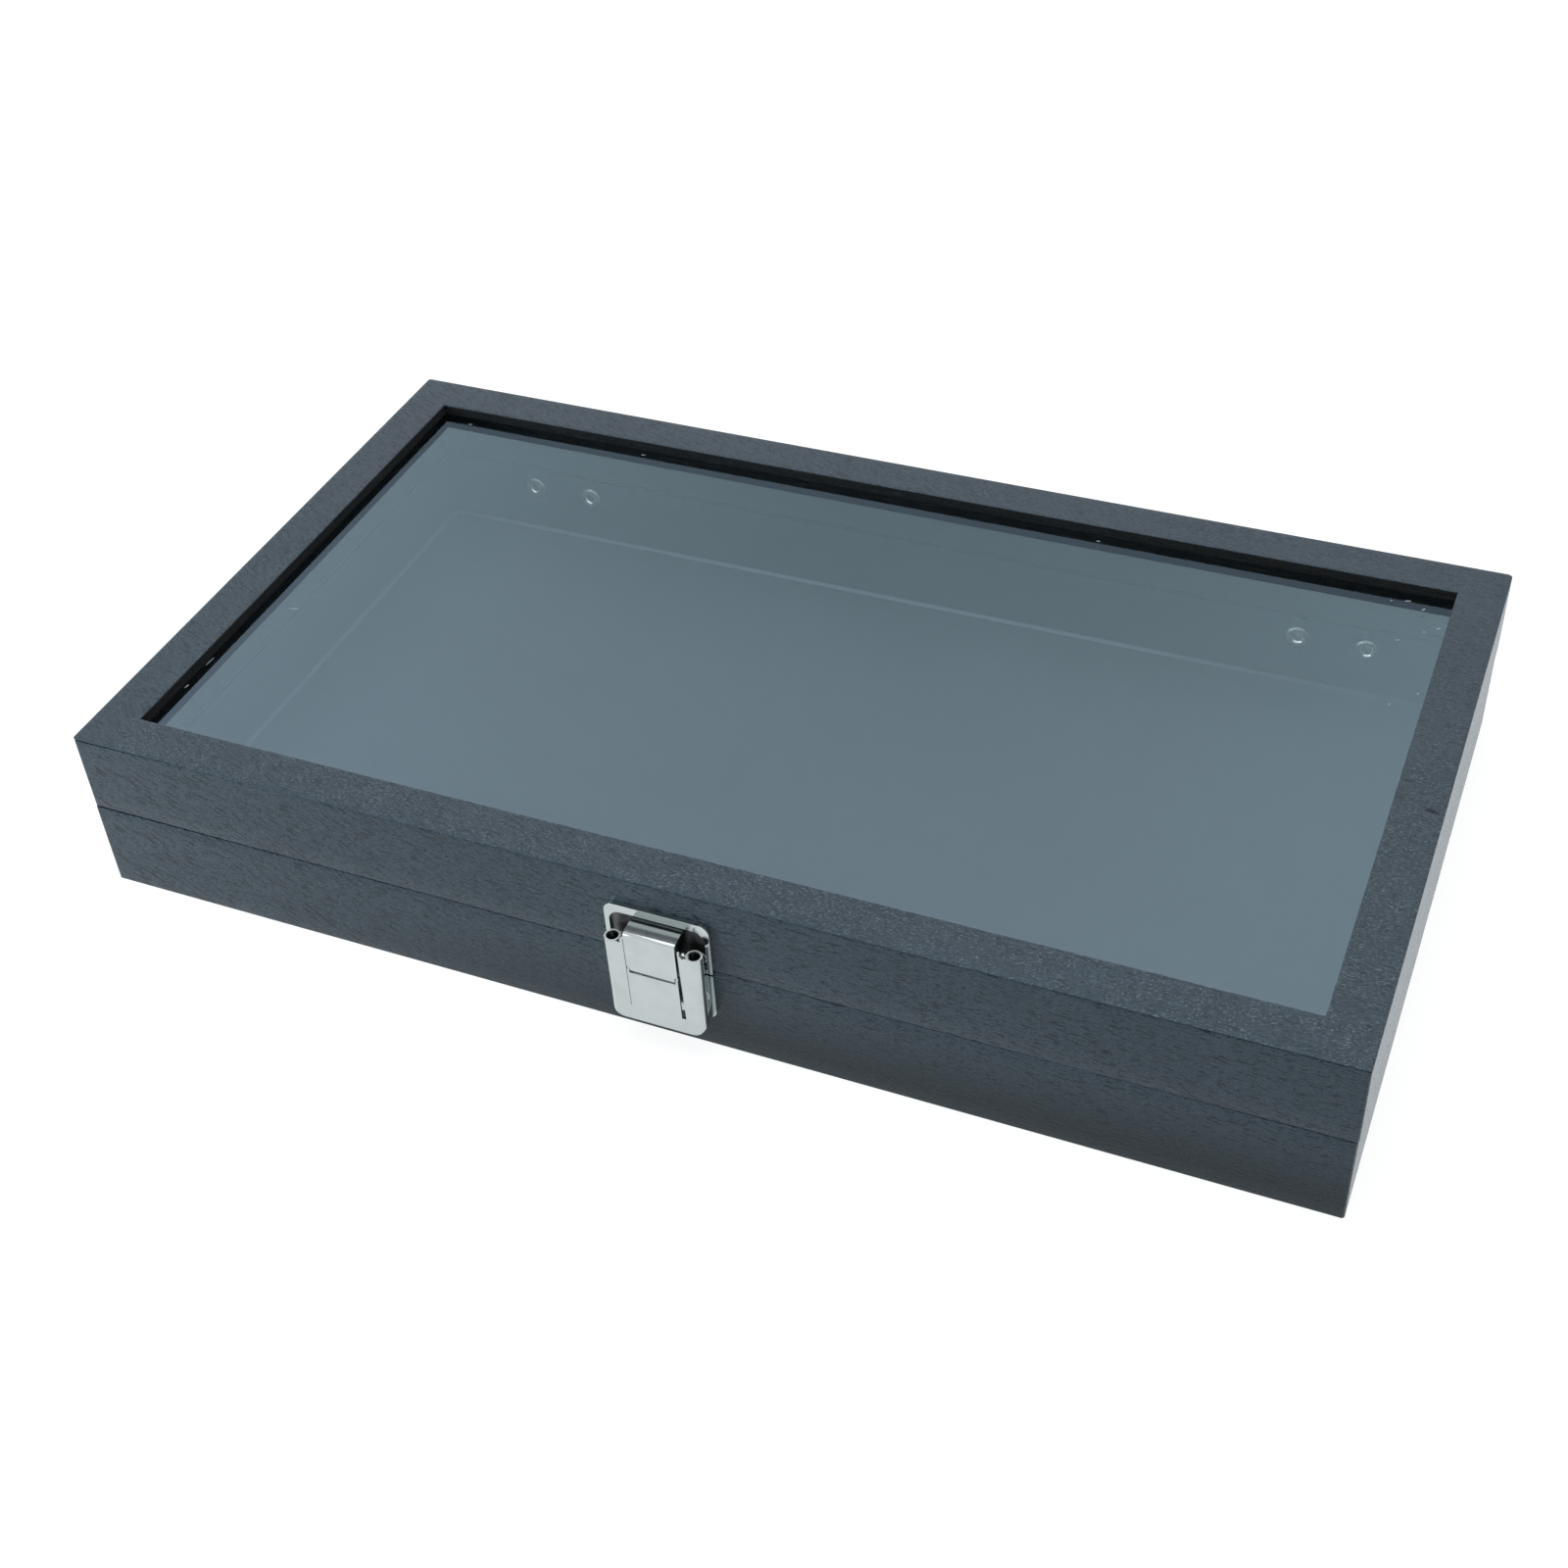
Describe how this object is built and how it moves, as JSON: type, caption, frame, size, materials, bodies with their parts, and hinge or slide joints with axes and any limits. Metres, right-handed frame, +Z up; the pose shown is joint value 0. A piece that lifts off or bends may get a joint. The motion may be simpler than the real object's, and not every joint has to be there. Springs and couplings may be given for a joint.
{
  "type": "glass-top jewelry display case",
  "caption": "Shallow leatherette-covered display case with a hinged glass-top lid, rear butt hinges and a nickel draw catch on the front.",
  "frame": {"origin": "centre of the underside of the tray", "axes": "+X to the right along the length, +Y from the catch to the hinges, +Z up"},
  "size_m": [0.375, 0.2209, 0.056],
  "materials": {
    "leatherette": "crinkle-grained leatherette paper, blue-black, low sheen",
    "wall_lining": "matte black lining paper",
    "floor_lining": "fine-woven black lining over card",
    "board": "bare fibreboard, covered on every outer face",
    "glass": "clear float glass",
    "black_stop": "black-stained wooden stop",
    "nickel": "polished nickel plate",
    "rivet_metal": "dull nickel plate",
    "pin_steel": "drawn steel wire"
  },
  "bodies": {
    "base": {"base_front_rail": "board", "base_rear_rail": "board", "base_left_rail": "board", "base_right_rail": "board", "base_bottom_board": "board", "base_bottom_sheet": "leatherette", "base_wrap": "leatherette", "base_lining": "wall_lining", "floor_pad": "floor_lining", "left_hinge_base_leaf": "nickel", "right_hinge_base_leaf": "nickel", "left_hinge_pin": "pin_steel", "right_hinge_pin": "pin_steel", "base_hinge_rivets": "rivet_metal", "catch_plate": "nickel", "catch_rivets": "nickel", "lever_pins": "pin_steel"},
    "lid": {"lid_front_rail": "board", "lid_rear_rail": "board", "lid_left_rail": "board", "lid_right_rail": "board", "top_frame_front": "board", "top_frame_rear": "board", "top_frame_left": "board", "top_frame_right": "board", "lid_side_wrap": "leatherette", "lid_top_sheet": "leatherette", "lid_lining": "wall_lining", "glass_pane": "glass", "glass_stop_front": "black_stop", "glass_stop_rear": "black_stop", "glass_stop_left": "black_stop", "glass_stop_right": "black_stop", "left_hinge_lid_leaf": "nickel", "right_hinge_lid_leaf": "nickel", "lid_hinge_rivets": "rivet_metal", "keeper_plate": "nickel", "keeper_rivets": "nickel"},
    "lever": {"latch_lever": "nickel", "claw_pin": "pin_steel"},
    "claw": {"latch_claw": "nickel"}
  },
  "joints": [
    {"name": "lid_hinge", "type": "hinge", "parent": "base", "child": "lid", "pos_m": [0, 0.1071, 0.0295], "axis": [-1, 0, 0], "range_deg": [0, 180]},
    {"name": "lever_hinge", "type": "hinge", "parent": "base", "child": "lever", "pos_m": [0, -0.10965, 0.0376], "axis": [-1, 0, 0], "range_deg": [0, 80]},
    {"name": "claw_hinge", "type": "hinge", "parent": "lever", "child": "claw", "pos_m": [0, -0.111, 0.02945], "axis": [-1, 0, 0], "range_deg": [-90, 0]}
  ],
  "couplings": [
    {"joint": "claw_hinge", "follows": "lever_hinge", "ratio": -1}
  ]
}
